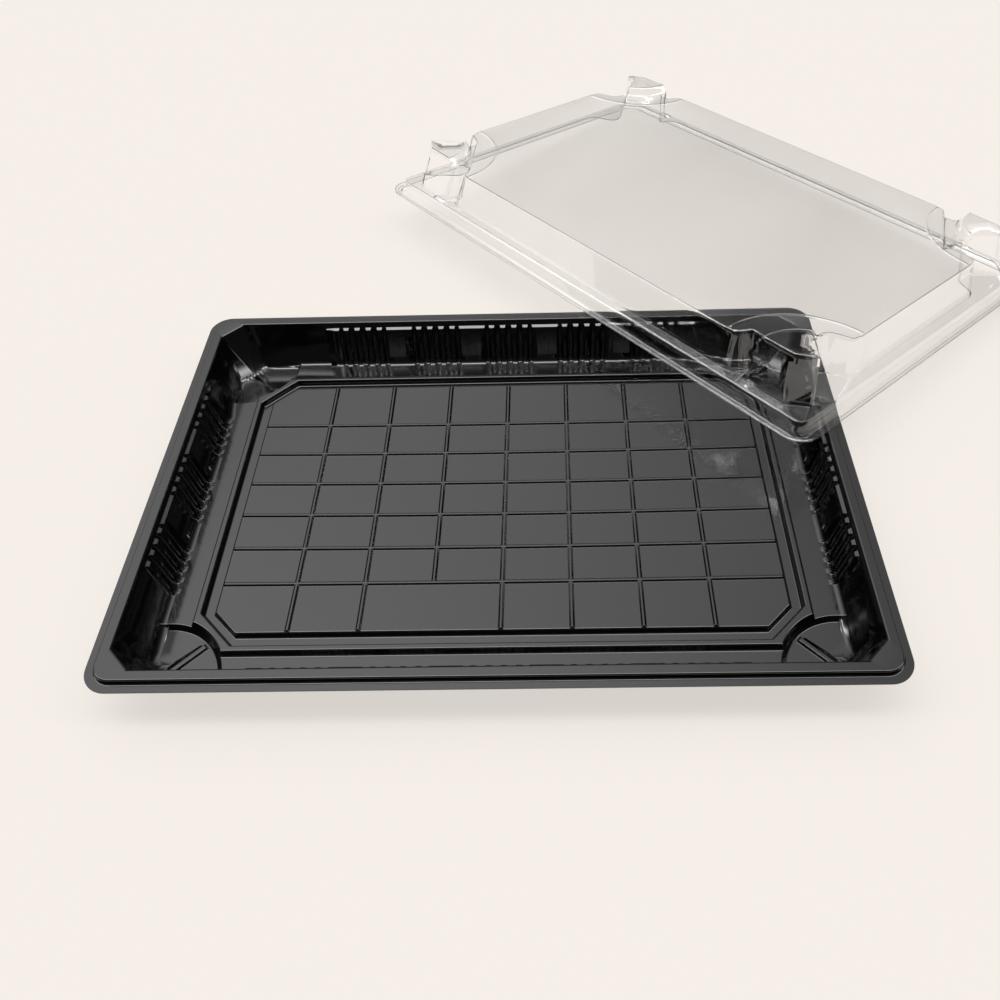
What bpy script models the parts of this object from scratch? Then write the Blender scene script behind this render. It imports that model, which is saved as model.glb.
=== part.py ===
"""A takeaway sushi tray and its clear lid, which lies across the tray's back right corner.

Both pieces are sheets drawn down over a mould, so neither has an undercut. Each is built the same way: a few
nested outlines at known heights are joined by triangles into the sheet's upper face, the same outlines moved
by the gauge make its lower face, and one band closes the edge. Sizes are in millimetres, and only the
finished meshes are scaled to metres.
"""

import math

import bpy
from mathutils import Matrix, Vector
from mathutils.geometry import delaunay_2d_cdt

MILLIMETRE = 0.001
GAUGE = 0.8            # thickness of both sheets
WALL_SHIFT = 0.72 * GAUGE   # sideways move that keeps the gauge on a drafted wall
ARC_STEPS = 6          # segments in a rounded corner
MERGE = 1e-5           # points closer than this are one

# Tray: the opening inside the rim, and the rim's own steps measured outwards from it
OPENING = (346.0, 235.3)
CORNER_LEG = 10.8      # each opening corner is cut at 45 degrees by this much
RIM_WIDTH = 5.2
RIM_DROP = 2.4         # the rim steps down to the flange
RIM_STEP = 0.5
FLANGE_EDGE = 9.6
RIM_RADIUS = 9.0
FLANGE_RADIUS = 12.0

# Tray walls, with upright V ribs in groups and flat pads between the groups
WALL_FOOT_INSET = 7.8
WALL_HEIGHT = 25.85
FOOT_LEG = 11.7
LEDGE_DEPTH = 3.4      # pads and ribs begin this far below the rim
LEDGE_FALL = 0.5
BUMP = 1.6             # how far pads and ribs stand out of the wall
RIB_PITCH = 6.82
RIBS_PER_GROUP = 4
LONG_WALL = {"groups": 5, "pitch": 44.6, "end_pad": 8.5}
SHORT_WALL = {"groups": 3, "pitch": 47.6, "end_pad": 8.0}
PAD_GAP = 1.25         # slope between a group's last valley and the next pad
WALL_LADDER = (5, 6)   # the outlines at the top and the foot of the ribs, in tray_face's order

# Tray floor, as insets from the opening and depths below the rim
STRIP_DEPTH = WALL_HEIGHT
RIDGE_OUTER, RIDGE_INNER = 22.9, 26.5
RIDGE_DEPTH = 23.7
BAND_DEPTH = 25.2
PLATFORM_INSET = 32.7
PLATFORM_DEPTH = 23.95
PLATFORM_LEG = 12.9
STEP_RUN = 0.6         # width of each small riser
RIDGE_LEG = 19.4

# Raised lines that divide the platform
COLUMN_PITCH = 34.33
ROW_PITCH = 22.06
COLUMN_LINES = range(-3, 4)
ROW_LINES = (-2.5, -1.5, -0.5, 0.5, 1.5, 2.5)
SHORT_LINE = -1        # this column line stops one row early, which leaves a double cell
LINE_FOOT, LINE_TOP = 1.5, 0.7
LINE_HEIGHT = 0.9
LINE_END_GAP = 0.8

# Corner feet: quarter-round hollows below the strip, each with one raised spoke
FOOT_CENTRE_INSET = (11.0, 9.2)
FOOT_RADIUS = 30.9
FOOT_DEPTH = 29.7
FOOT_DRAFT = 0.9
SPOKE_REACH = (28.5, 11.0)
SPOKE_WIDTHS = (3.6, 2.0)
SPOKE_HEIGHT = 1.6

# Lid, in its own frame: origin under its centre in the plane of the flange's upper face
LID_SIZE = (366.0, 256.0)
LID_RADIUS = 13.0
LID_FLANGE = 5.0
SHELF_INSET = 7.5
SHELF_HEIGHT = 8.5
DOME_HEIGHT = 31.0
TOWER_HEIGHT = 36.5

# One corner of the dome as distances from the lid's short and long edges, each point at the dome's foot and
# at its top: the end of the long panel, a groove, the chamfered tower, a groove, the end of the short panel
DOME_CORNER = (
    ((65.0, 13.3), (72.0, 17.3)), ((59.5, 15.5), (66.0, 18.3)), ((57.0, 20.0), (63.5, 21.5)),
    ((56.0, 24.0), (61.0, 27.0)), ((53.5, 24.0), (54.0, 27.0)), ((52.5, 20.0), (52.5, 24.0)),
    ((52.0, 13.3), (52.2, 18.1)), ((24.8, 13.3), (28.0, 18.4)), ((12.2, 24.5), (17.0, 26.7)),
    ((28.0, 43.0), (33.5, 43.0)), ((29.5, 47.0), (34.0, 47.5)), ((29.5, 51.0), (34.0, 53.5)),
    ((27.0, 54.5), (31.0, 58.5)), ((20.8, 57.5), (25.0, 61.0)), ((15.5, 60.0), (20.0, 63.0)),
    ((13.5, 66.0), (18.3, 69.0)),
)
TOWER_POINTS = slice(6, 10)   # the tower's own four points among them

# Where the lid lies: the place of its near corner from the tray's centre and rim, its turn and its slope
LID_CORNER = (155.2, 1.3, 5.2)
LID_TURN = -47.8
LID_SLOPE = 6.12
LID_SLOPE_TOWARDS = 54.6


def polar(centre, radius, degrees):
    angle = math.radians(degrees)
    return (centre[0] + radius * math.cos(angle), centre[1] + radius * math.sin(angle))


def rounded_rectangle(half_x, half_y, radius):
    """Counter-clockwise outline with round corners, starting in the front left one."""
    points = []
    for quarter, (side_x, side_y) in enumerate(((-1, -1), (1, -1), (1, 1), (-1, 1))):
        centre = (side_x * (half_x - radius), side_y * (half_y - radius))
        first = 180 + 90 * quarter
        points += [polar(centre, radius, first + 90 * k / ARC_STEPS) for k in range(ARC_STEPS + 1)]
    return points


def chamfered_rectangle(half_x, half_y, leg):
    """Counter-clockwise outline with corners cut at 45 degrees."""
    points = []
    for side_x, side_y in ((-1, -1), (1, -1), (1, 1), (-1, 1)):
        on_side = (side_x * half_x, side_y * (half_y - leg))
        on_front = (side_x * (half_x - leg), side_y * half_y)
        points += [on_side, on_front] if side_x == side_y else [on_front, on_side]
    return points


def offset_inwards(points, distance):
    """A counter-clockwise outline moved to its own inside, keeping one point for each corner."""
    moved = []
    for k, here in enumerate(points):
        before = (Vector(here) - Vector(points[k - 1])).normalized()
        after = (Vector(points[(k + 1) % len(points)]) - Vector(here)).normalized()
        normals = Vector((-before.y, before.x)), Vector((-after.y, after.x))
        mitre = (normals[0] + normals[1]) / (1 + normals[0].dot(normals[1]))
        moved.append(tuple(Vector(here) + mitre * distance))
    return moved


def opening_outline(inset, leg):
    return chamfered_rectangle(OPENING[0] / 2 - inset, OPENING[1] / 2 - inset, leg)


def rim_outline(outset, radius):
    return rounded_rectangle(OPENING[0] / 2 + outset, OPENING[1] / 2 + outset, radius)


def bump_stations(wall):
    """Places along one wall with how far the sheet stands out there, 0 in a valley and 1 on a rib or pad."""
    half_group = RIBS_PER_GROUP * RIB_PITCH / 2
    stations = []
    for group in range(wall["groups"]):
        middle = (group - (wall["groups"] - 1) / 2) * wall["pitch"]
        for rib in range(RIBS_PER_GROUP):
            valley = middle - half_group + rib * RIB_PITCH
            stations += [(valley, 0), (valley + RIB_PITCH / 2, 1)]
        stations.append((middle + half_group, 0))
        if group < wall["groups"] - 1:
            pad_start = middle + half_group + PAD_GAP
            pad_end = middle + wall["pitch"] - half_group - PAD_GAP
            stations += [(pad_start, 1), (pad_end, 1)]
    last = stations[-1][0]
    pad_start = last + PAD_GAP
    pad_end = pad_start + wall["end_pad"]
    end_pad = [(pad_start, 1), (pad_end, 1), (pad_end + PAD_GAP, 0)]
    start_pad = [(-place, bump) for place, bump in reversed(end_pad)]
    return start_pad + stations + end_pad


def bumped_outline(inset, leg, bump):
    """The opening's outline at one height of the walls, with its ribs and pads."""
    half_x, half_y = OPENING[0] / 2 - inset, OPENING[1] / 2 - inset
    walls = (
        ((1, 0), (0, -1), half_x, half_y, LONG_WALL),
        ((0, 1), (1, 0), half_y, half_x, SHORT_WALL),
        ((-1, 0), (0, 1), half_x, half_y, LONG_WALL),
        ((0, -1), (-1, 0), half_y, half_x, SHORT_WALL),
    )
    points = []
    for along, outwards, half_length, half_gap, wall in walls:
        ends = half_length - leg
        for place, height in [(-ends, 0)] + bump_stations(wall) + [(ends, 0)]:
            reach = half_gap - bump * height
            points.append((along[0] * place + outwards[0] * reach, along[1] * place + outwards[1] * reach))
    return points


def foot_arc(radius, inset):
    """The foot hollow's edge in the back right corner, from the right wall to the back wall."""
    wall_x, wall_y = OPENING[0] / 2 - inset, OPENING[1] / 2 - inset
    centre = (OPENING[0] / 2 - FOOT_CENTRE_INSET[0], OPENING[1] / 2 - FOOT_CENTRE_INSET[1])
    first = 270 + math.degrees(math.asin((wall_x - centre[0]) / radius))
    last = 180 - math.degrees(math.asin((wall_y - centre[1]) / radius))
    steps = 2 * ARC_STEPS
    return [polar(centre, radius, first + (last - first) * k / steps) for k in range(steps + 1)]


def foot_outline(radius, inset):
    """The hollow's floor: the arc, closed along the walls and across the cut corner."""
    wall_x, wall_y = OPENING[0] / 2 - inset, OPENING[1] / 2 - inset
    return foot_arc(radius, inset) + [(wall_x - FOOT_LEG, wall_y), (wall_x, wall_y - FOOT_LEG)]


def spoke_outline(width, trim):
    """A bar on the hollow's diagonal, from near the arc to near the cut corner."""
    centre = Vector((OPENING[0] / 2 - FOOT_CENTRE_INSET[0], OPENING[1] / 2 - FOOT_CENTRE_INSET[1]))
    inwards = Vector((-1, -1)).normalized()
    across = Vector((-1, 1)).normalized() * (width / 2)
    far, near = SPOKE_REACH[0] - trim, SPOKE_REACH[1] + trim
    corners = (centre + inwards * near - across, centre + inwards * far - across)
    corners += (centre + inwards * far + across, centre + inwards * near + across)
    return [tuple(corner) for corner in corners]


def in_each_corner(outline):
    """Copies of a back right outline for the four corners."""
    return [[(x * side_x, y * side_y) for x, y in outline] for side_x in (1, -1) for side_y in (1, -1)]


def line_bars():
    """Each raised line of the platform as its direction, its place, and its two ends."""
    half_x = OPENING[0] / 2 - PLATFORM_INSET - LINE_END_GAP
    half_y = OPENING[1] / 2 - PLATFORM_INSET - LINE_END_GAP
    bars = []
    for line in COLUMN_LINES:
        start = ROW_LINES[0] * ROW_PITCH if line == SHORT_LINE else -half_y
        bars.append(("column", line * COLUMN_PITCH, start, half_y))
    bars += [("row", line * ROW_PITCH, -half_x, half_x) for line in ROW_LINES]
    return bars


def bar_outline(bar, width, trim):
    direction, place, start, end = bar
    low, high = place - width / 2, place + width / 2
    start, end = start + trim, end - trim
    if direction == "column":
        return [(low, start), (high, start), (high, end), (low, end)]
    return [(start, low), (end, low), (end, high), (start, high)]


def platform_height(x, y):
    """Height of the platform with its raised lines, each one a low bar with sloping sides."""
    slope = (LINE_FOOT - LINE_TOP) / 2
    rise = 0.0
    for direction, place, start, end in line_bars():
        across, along = (x - place, y) if direction == "column" else (y - place, x)
        inside = min(LINE_FOOT / 2 - abs(across), along - start, end - along)
        rise = max(rise, min(inside / slope, 1.0))
    return -PLATFORM_DEPTH + rise * LINE_HEIGHT


def face_of_sheet(closed, open_lines=(), ladder=None, height_at=None):
    """Triangles over nested outlines.

    The two outlines that ladder numbers have matching points, which are joined one to one. A point with no
    height of its own, as where two bars cross, takes it from height_at.
    """
    flat, heights, edges = [], [], []
    for points, height, ring in [(p, h, True) for p, h in closed] + [(p, h, False) for p, h in open_lines]:
        first = len(flat)
        flat += [Vector(point) for point in points]
        heights += [height] * len(points)
        count = len(points)
        edges += [(first + k, first + (k + 1) % count) for k in range(count if ring else count - 1)]
    if ladder:
        starts = [sum(len(points) for points, _ in closed[:rung]) for rung in ladder]
        edges += [(starts[0] + k, starts[1] + k) for k in range(len(closed[ladder[0]][0]))]
    found, _, faces, origins, _, _ = delaunay_2d_cdt(flat, edges, [], 1, MERGE)
    points = []
    for point, origin in zip(found, origins):
        height = heights[origin[0]] if origin else None
        points.append((point.x, point.y, height_at(point.x, point.y) if height is None else height))
    border = {origin[0]: k for k, origin in enumerate(origins) if origin and origin[0] < len(closed[0][0])}
    return points, [tuple(face) for face in faces], [border[k] for k in range(len(closed[0][0]))]


def sheet_object(name, upper, lower, material):
    """One closed solid from an upper and a lower face whose borders have the same points in plan."""
    points = list(upper[0])
    faces = [face for face in upper[1]]
    start = len(points)
    points += lower[0]
    faces += [tuple(start + k for k in reversed(face)) for face in lower[1]]
    count = len(upper[2])
    for k in range(count):
        here, after = upper[2][k], upper[2][(k + 1) % count]
        below, below_after = start + lower[2][k], start + lower[2][(k + 1) % count]
        faces.append((here, below, below_after, after))
    mesh = bpy.data.meshes.new(name)
    mesh.from_pydata([tuple(c * MILLIMETRE for c in point) for point in points], [], faces)
    mesh.materials.append(material)
    mesh.validate()
    obj = bpy.data.objects.new(name, mesh)
    bpy.context.collection.objects.link(obj)
    return obj


def plastic(name, color, roughness, transmission):
    material = bpy.data.materials.new(name)
    material.use_nodes = True
    shader = material.node_tree.nodes["Principled BSDF"]
    shader.inputs["Base Color"].default_value = (*color, 1.0)
    shader.inputs["Roughness"].default_value = roughness
    shader.inputs["Metallic"].default_value = 0.0
    shader.inputs["Transmission Weight"].default_value = transmission
    return material


def tray_face(drop, shift):
    """One face of the tray: the upper one, or the lower one moved down by drop and sideways by shift."""
    ledge_inset = WALL_FOOT_INSET * LEDGE_DEPTH / WALL_HEIGHT
    lip_inset = WALL_FOOT_INSET * (LEDGE_DEPTH + LEDGE_FALL) / WALL_HEIGHT
    floor_inset = WALL_FOOT_INSET * FOOT_DEPTH / WALL_HEIGHT
    closed = [
        (rim_outline(FLANGE_EDGE, FLANGE_RADIUS), -RIM_DROP - drop),
        (rim_outline(RIM_WIDTH + RIM_STEP - shift, RIM_RADIUS + RIM_STEP), -RIM_DROP - drop),
        (rim_outline(RIM_WIDTH - shift, RIM_RADIUS), -drop),
        (opening_outline(-shift, CORNER_LEG), -drop),
        (opening_outline(ledge_inset - shift, CORNER_LEG), -LEDGE_DEPTH - drop),
        (bumped_outline(lip_inset - shift, CORNER_LEG, BUMP), -LEDGE_DEPTH - LEDGE_FALL - drop),
        (bumped_outline(WALL_FOOT_INSET - shift, FOOT_LEG, BUMP), -WALL_HEIGHT - drop),
        (opening_outline(RIDGE_OUTER + shift, RIDGE_LEG), -STRIP_DEPTH - drop),
        (opening_outline(RIDGE_OUTER + STEP_RUN + shift, RIDGE_LEG), -RIDGE_DEPTH - drop),
        (opening_outline(RIDGE_INNER - STEP_RUN - shift, RIDGE_LEG - 1), -RIDGE_DEPTH - drop),
        (opening_outline(RIDGE_INNER - shift, RIDGE_LEG - 1), -BAND_DEPTH - drop),
        (opening_outline(PLATFORM_INSET - STEP_RUN + shift, PLATFORM_LEG), -BAND_DEPTH - drop),
        (opening_outline(PLATFORM_INSET + shift, PLATFORM_LEG), -PLATFORM_DEPTH - drop),
    ]
    foot_floor = foot_outline(FOOT_RADIUS - FOOT_DRAFT + shift, floor_inset - shift)
    closed += [(outline, -FOOT_DEPTH - drop) for outline in in_each_corner(foot_floor)]
    foot_edge = foot_arc(FOOT_RADIUS + shift, WALL_FOOT_INSET - shift)
    arcs = [(arc, -STRIP_DEPTH - drop) for arc in in_each_corner(foot_edge)]
    if drop:
        return face_of_sheet(closed, arcs, WALL_LADDER)
    for width, trim, rise in zip(SPOKE_WIDTHS, (0, STEP_RUN), (0, SPOKE_HEIGHT)):
        spoke = spoke_outline(width, trim)
        closed += [(outline, rise - FOOT_DEPTH) for outline in in_each_corner(spoke)]
    slope = (LINE_FOOT - LINE_TOP) / 2
    for bar in line_bars():
        closed.append((bar_outline(bar, LINE_FOOT, 0), None))
        closed.append((bar_outline(bar, LINE_TOP, slope), None))
    return face_of_sheet(closed, arcs, WALL_LADDER, platform_height)


def make_tray():
    black = plastic("thermoformed_polystyrene", (0.02, 0.02, 0.02), 0.12, 0.0)
    return sheet_object("tray", tray_face(0, 0), tray_face(GAUGE, WALL_SHIFT), black)


def dome_outline(height):
    """The dome's outline at a height above the flange, from the corner drawn at the dome's foot and top."""
    share = (height - SHELF_HEIGHT) / (DOME_HEIGHT - SHELF_HEIGHT)
    half_x, half_y = LID_SIZE[0] / 2, LID_SIZE[1] / 2
    corner = [tuple(Vector(foot).lerp(Vector(top), share)) for foot, top in DOME_CORNER]
    points = []
    for side_x, side_y in ((-1, -1), (1, -1), (1, 1), (-1, 1)):
        placed = [(side_x * (half_x - a), side_y * (half_y - b)) for a, b in corner]
        points += placed[::-1] if side_x == side_y else placed
    return points


def spiral(centre, start, end):
    """Points on an arc about centre whose radius runs evenly from start's to end's."""
    from_centre, to_centre = Vector(start) - Vector(centre), Vector(end) - Vector(centre)
    first = math.degrees(math.atan2(from_centre.y, from_centre.x))
    sweep = math.degrees(from_centre.angle_signed(to_centre))
    points = []
    for k in range(ARC_STEPS + 1):
        share = k / ARC_STEPS
        radius = from_centre.length + (to_centre.length - from_centre.length) * share
        points.append(polar(centre, radius, first - sweep * share))
    return points


def tower_lines(shift):
    """Arc behind the front right tower at dome height, and the outline of the tower's top."""
    count = len(DOME_CORNER)
    at_dome = offset_inwards(dome_outline(DOME_HEIGHT), shift)[count:2 * count]
    at_top = offset_inwards(dome_outline(TOWER_HEIGHT), shift)[count:2 * count]
    near_end, near_corner, cut_corner, far_end = at_top[TOWER_POINTS]
    centre = (cut_corner[0], near_corner[1])
    back = spiral(centre, at_dome[TOWER_POINTS.start - 1], at_dome[TOWER_POINTS.stop])
    top = [near_end, near_corner, cut_corner] + spiral(centre, far_end, near_end)[:-1]
    return back, top


def lid_face(drop, shift):
    """One face of the lid in the lid's own frame."""
    half_x, half_y = LID_SIZE[0] / 2, LID_SIZE[1] / 2
    shelf = SHELF_INSET + shift
    flange = LID_FLANGE + shift
    wall = offset_inwards(dome_outline(SHELF_HEIGHT), shift)
    rim = offset_inwards(dome_outline(DOME_HEIGHT), shift)
    back, top = tower_lines(shift)
    closed = [
        (rounded_rectangle(half_x, half_y, LID_RADIUS), -drop),
        (rounded_rectangle(half_x - flange, half_y - flange, LID_RADIUS - flange), -drop),
        (rounded_rectangle(half_x - shelf, half_y - shelf, LID_RADIUS - shelf), SHELF_HEIGHT - drop),
        (wall, SHELF_HEIGHT - drop),
        (rim, DOME_HEIGHT - drop),
    ]
    closed += [(outline, TOWER_HEIGHT - drop) for outline in in_each_corner(top)]
    return face_of_sheet(closed, [(line, DOME_HEIGHT - drop) for line in in_each_corner(back)])


def lid_placement():
    """Turns the lid, slopes it, and puts its near corner where it belongs."""
    turn = Matrix.Rotation(math.radians(LID_TURN), 4, "Z")
    towards = math.radians(LID_SLOPE_TOWARDS)
    hinge = Vector((-math.sin(towards), math.cos(towards), 0))
    slope = Matrix.Rotation(math.radians(LID_SLOPE), 4, hinge)
    corner = Vector((LID_SIZE[0] / 2, -LID_SIZE[1] / 2, 0)) * MILLIMETRE
    place = Matrix.Translation(Vector(LID_CORNER) * MILLIMETRE)
    return place @ slope @ turn @ Matrix.Translation(-corner)


def make_lid():
    clear = plastic("thermoformed_clear_PET", (0.9, 0.92, 0.92), 0.05, 1.0)
    lid = sheet_object("lid", lid_face(0, 0), lid_face(GAUGE, WALL_SHIFT), clear)
    lid.matrix_world = lid_placement()
    return lid


def stand_on_origin(pieces):
    """Moves the pieces together so that the set stands on the origin, centred over it."""
    corners = [piece.matrix_world @ vertex.co for piece in pieces for vertex in piece.data.vertices]
    low = Vector([min(corner[axis] for corner in corners) for axis in range(3)])
    high = Vector([max(corner[axis] for corner in corners) for axis in range(3)])
    base = Matrix.Translation(Vector((-(low.x + high.x) / 2, -(low.y + high.y) / 2, -low.z)))
    for piece in pieces:
        piece.matrix_world = base @ piece.matrix_world


def main():
    for old in list(bpy.data.objects):
        bpy.data.objects.remove(old, do_unlink=True)
    stand_on_origin([make_tray(), make_lid()])


main()
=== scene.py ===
# %% [markdown]
# # A black sushi tray and its clear lid
#
# Big takeaway trays come as two thin shells. The tray is black polystyrene, the lid is clear PET, and both
# are thermoformed: a flat sheet is heated until it sags, and a vacuum pulls it down over a mould. That gives
# both of them the same look. Every edge is rounded by about the sheet's thickness, nothing has an undercut,
# and the walls come out thinner than the flats because they are stretched more.
#
# A shell with no undercut has exactly one height at each place on the plan. So this lesson writes each piece
# as a formula for its height, lays out points where the formula bends, joins them into triangles, and lifts
# them. The formula also gives the exact surface normals, so the flats shade dead flat and the small rounded
# edges catch the light in thin lines, which is most of what the eye sees on glossy black plastic.

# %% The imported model
import math

import bpy
import numpy as np
from mathutils import Matrix, Vector
from mathutils.geometry import delaunay_2d_cdt


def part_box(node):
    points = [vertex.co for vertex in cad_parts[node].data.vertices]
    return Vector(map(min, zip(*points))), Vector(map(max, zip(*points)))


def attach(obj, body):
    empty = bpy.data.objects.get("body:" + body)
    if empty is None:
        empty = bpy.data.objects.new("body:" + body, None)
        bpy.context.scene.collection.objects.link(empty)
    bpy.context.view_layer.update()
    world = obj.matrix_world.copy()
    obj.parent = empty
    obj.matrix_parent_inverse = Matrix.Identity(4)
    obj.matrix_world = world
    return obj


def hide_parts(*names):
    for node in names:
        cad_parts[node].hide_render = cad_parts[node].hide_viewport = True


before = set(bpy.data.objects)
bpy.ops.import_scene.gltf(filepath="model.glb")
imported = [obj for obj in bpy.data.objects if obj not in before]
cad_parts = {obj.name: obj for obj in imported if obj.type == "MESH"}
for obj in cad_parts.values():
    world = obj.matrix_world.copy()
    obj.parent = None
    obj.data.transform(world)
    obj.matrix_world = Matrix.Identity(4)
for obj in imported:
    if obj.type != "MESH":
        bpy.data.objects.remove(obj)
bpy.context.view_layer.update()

MM = 0.001
tray_low, tray_high = (Vector(corner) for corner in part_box("tray"))
rim_middle = Vector(((tray_low.x + tray_high.x) / 2, (tray_low.y + tray_high.y) / 2, tray_high.z))
print("tray", [round(side / MM, 1) for side in tray_high - tray_low], "mm, rim middle", rim_middle)

# %% [markdown]
# ## Rounded steps as formulas
#
# A pressed sheet never turns a sharp corner. `curve` is the building block for that: it is 0 on one side, it
# climbs evenly on the other, and an arc of a circle joins the two. Two of them make a `step`, with a rounded
# foot and a rounded head. `soft` and `ramp` do the same with a parabola, which also works on shares of a
# wall. Everything on the two pieces is one of these, fed with a distance from some outline.

# %% Rounded steps
def tangent(slope, radius):
    """How far before the sharp corner an arc of this radius starts."""
    return radius * math.tan(math.atan(slope) / 2)


def curve(s, slope, radius):
    """0 before the corner at 0, slope * s after it, and an arc between."""
    start, angle = tangent(slope, radius), math.atan(slope)
    along = np.clip(s + start, 0, radius * math.sin(angle))
    arc = radius - np.sqrt(radius ** 2 - along ** 2)
    return np.where(s < start * math.cos(angle), arc, slope * s)


def step(s, run, rise, radius):
    """0 before 0, rise after run, rounded at its foot and its head."""
    slope = rise / run
    return np.where(s < run / 2, curve(s, slope, radius), rise - curve(run - s, slope, radius))


def soft(x, width):
    """0 below -width, x above width, and a parabola between them."""
    bend = (x + width) ** 2 / (4 * width)
    return np.where(x <= -width, 0.0, np.where(x >= width, x, bend))


def ramp(x, run, width):
    """0 before 0, 1 after run, with its two corners rounded over width each way."""
    return (soft(x, width) - soft(x - run, width)) / run


print("half way up a step:", step(0.3, 0.6, 2.0, 0.5))

# %% [markdown]
# ## The tray's plan
#
# Seen from above, the tray is a stack of rectangles with their corners cut at 45 degrees: the opening, the
# foot of the walls, a low ridge, a band, and the platform that the food stands on. Each of them is a distance
# in from the opening and a length cut off each corner. Outside the opening the rim and the flange have round
# corners instead. All sizes are in millimetres, from the middle of the tray.

# %% Sizes of the tray
OPENING = (346.0, 235.3)
CORNER_LEG = 10.8
RIM_WIDTH, RIM_RADIUS = 5.2, 9.0
RIM_DROP, RIM_STEP = 2.9, 0.45
FLANGE_EDGE, FLANGE_RADIUS = 9.6, 12.0
WALL_HEIGHT, WALL_FOOT_INSET, FOOT_LEG = 27.3, 6.0, 13.1
WALL_SLOPE = WALL_HEIGHT / WALL_FOOT_INSET
RIDGE_OUTER, RIDGE_OUTER_LEG = 21.9, 11.0
RIDGE_INNER, RIDGE_INNER_LEG, RIDGE_DEPTH = 26.6, 18.4, 23.6
BAND_DEPTH = 27.3
PLATFORM_INSET, PLATFORM_LEG, PLATFORM_DEPTH = 32.7, 12.9, 23.95
STEP_RUN, STEP_RADIUS = 0.9, 0.9
TRAY_GAUGE = 0.6       # measured upright, which leaves the steep walls under 0.2 thick
RIM_EDGE = 0.8         # radius of the rim's outer edge
OPENING_EDGE = 1.1     # and of its inner one
CREASE = 3.6           # radius at the foot of the walls
SAG = 1.8              # a wide thin floor hangs this much lower in its middle
HALF_X, HALF_Y = OPENING[0] / 2, OPENING[1] / 2


def inside(x, y, inset, leg):
    """Distance inside a rectangle with cut corners, which lies this far in from the opening."""
    to_side, to_front = HALF_X - inset - np.abs(x), HALF_Y - inset - np.abs(y)
    to_cut = (to_side + to_front - leg) / math.sqrt(2)
    return np.minimum(np.minimum(to_side, to_front), to_cut)


def outside(x, y, half, radius):
    """Distance outside a rectangle with round corners."""
    over_x, over_y = np.abs(x) - half[0] + radius, np.abs(y) - half[1] + radius
    beyond = np.hypot(np.maximum(over_x, 0), np.maximum(over_y, 0))
    return beyond + np.minimum(np.maximum(over_x, over_y), 0) - radius


print("from the middle to the platform's edge:", inside(0.0, 0.0, PLATFORM_INSET, PLATFORM_LEG))

# %% [markdown]
# ## Ribs and pads in the walls
#
# The walls of such a tray are stiffened by upright ribs, four in a group, with a flat pad between two groups.
# They start on small ledges just below the rim and run down to the floor. One list along each wall says how
# far the sheet stands out there, from 0 in a valley to 1 on a rib. The list is smoothed once, because the
# sheet rounds the ribs too. The ledges lean inwards a little, so each of them catches the light from above,
# and the wall below it stays black.

# %% Ribs and pads
LEDGE_DEPTH, LEDGE_FALL, BUMP = 3.4, 0.8, 1.9
RIB_PITCH, RIBS_PER_GROUP = 6.82, 4
LONG_WALL = {"groups": 5, "pitch": 44.6, "end_pads": (7.4, 8.5)}
SHORT_WALL = {"groups": 3, "pitch": 47.6, "end_pads": (0.0, 5.0)}
RIB_HALF, RIB_FLANK, PAD_GAP = 1.35, 0.45, 3.1
LEDGE_INSET = LEDGE_DEPTH / WALL_SLOPE
FINE_STEP, RIB_ROUNDING, TABLE_REACH = 0.05, 0.3, 180


def rib_stations(wall):
    """Places along a wall with how far the sheet stands out there."""
    spans, half = [], (RIBS_PER_GROUP - 1) / 2 * RIB_PITCH + RIB_HALF
    for group in range(wall["groups"]):
        middle = (group - (wall["groups"] - 1) / 2) * wall["pitch"]
        for rib in range(RIBS_PER_GROUP):
            centre = middle + (rib - (RIBS_PER_GROUP - 1) / 2) * RIB_PITCH
            spans.append((centre - RIB_HALF, centre + RIB_HALF))
        if group < wall["groups"] - 1:
            spans.append((middle + half + PAD_GAP, middle + wall["pitch"] - half - PAD_GAP))
    last = (wall["groups"] - 1) / 2 * wall["pitch"] + half + PAD_GAP
    start_pad, end_pad = wall["end_pads"]
    if start_pad:
        spans.append((-last - start_pad, -last))
    if end_pad:
        spans.append((last, last + end_pad))
    stations = []
    for start, end in spans:
        stations += [(start - RIB_FLANK, 0), (start, 1), (end, 1), (end + RIB_FLANK, 0)]
    return sorted(stations)


def rib_table(wall):
    """A wall's stations as a dense and smoothed table."""
    places = np.arange(-TABLE_REACH, TABLE_REACH, FINE_STEP)
    stations = rib_stations(wall)
    heights = np.interp(places, [s for s, _ in stations], [h for _, h in stations])
    window = np.hanning(round(RIB_ROUNDING / FINE_STEP) * 2 + 1)
    return places, np.convolve(heights, window / window.sum(), mode="same")


LONG_RIBS, SHORT_RIBS = rib_table(LONG_WALL), rib_table(SHORT_WALL)


def bump_at(x, y):
    """How far the wall nearest to this place stands out there, in millimetres."""
    on_long = HALF_Y - np.abs(y) < HALF_X - np.abs(x)
    return BUMP * np.where(on_long, np.interp(x, *LONG_RIBS), np.interp(y, *SHORT_RIBS))


print("stations:", len(rib_stations(LONG_WALL)), "and", len(rib_stations(SHORT_WALL)))

# %% [markdown]
# ## Feet in the corners
#
# Each corner has a foot: a quarter-round hollow, a few millimetres deeper than the floor beside it, with one
# low bar on its diagonal for stiffness. The cut corners above the feet have fine upright flutes. The four
# corners are alike, so the formulas use distances from the tray's middle lines and need only one of them.

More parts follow.
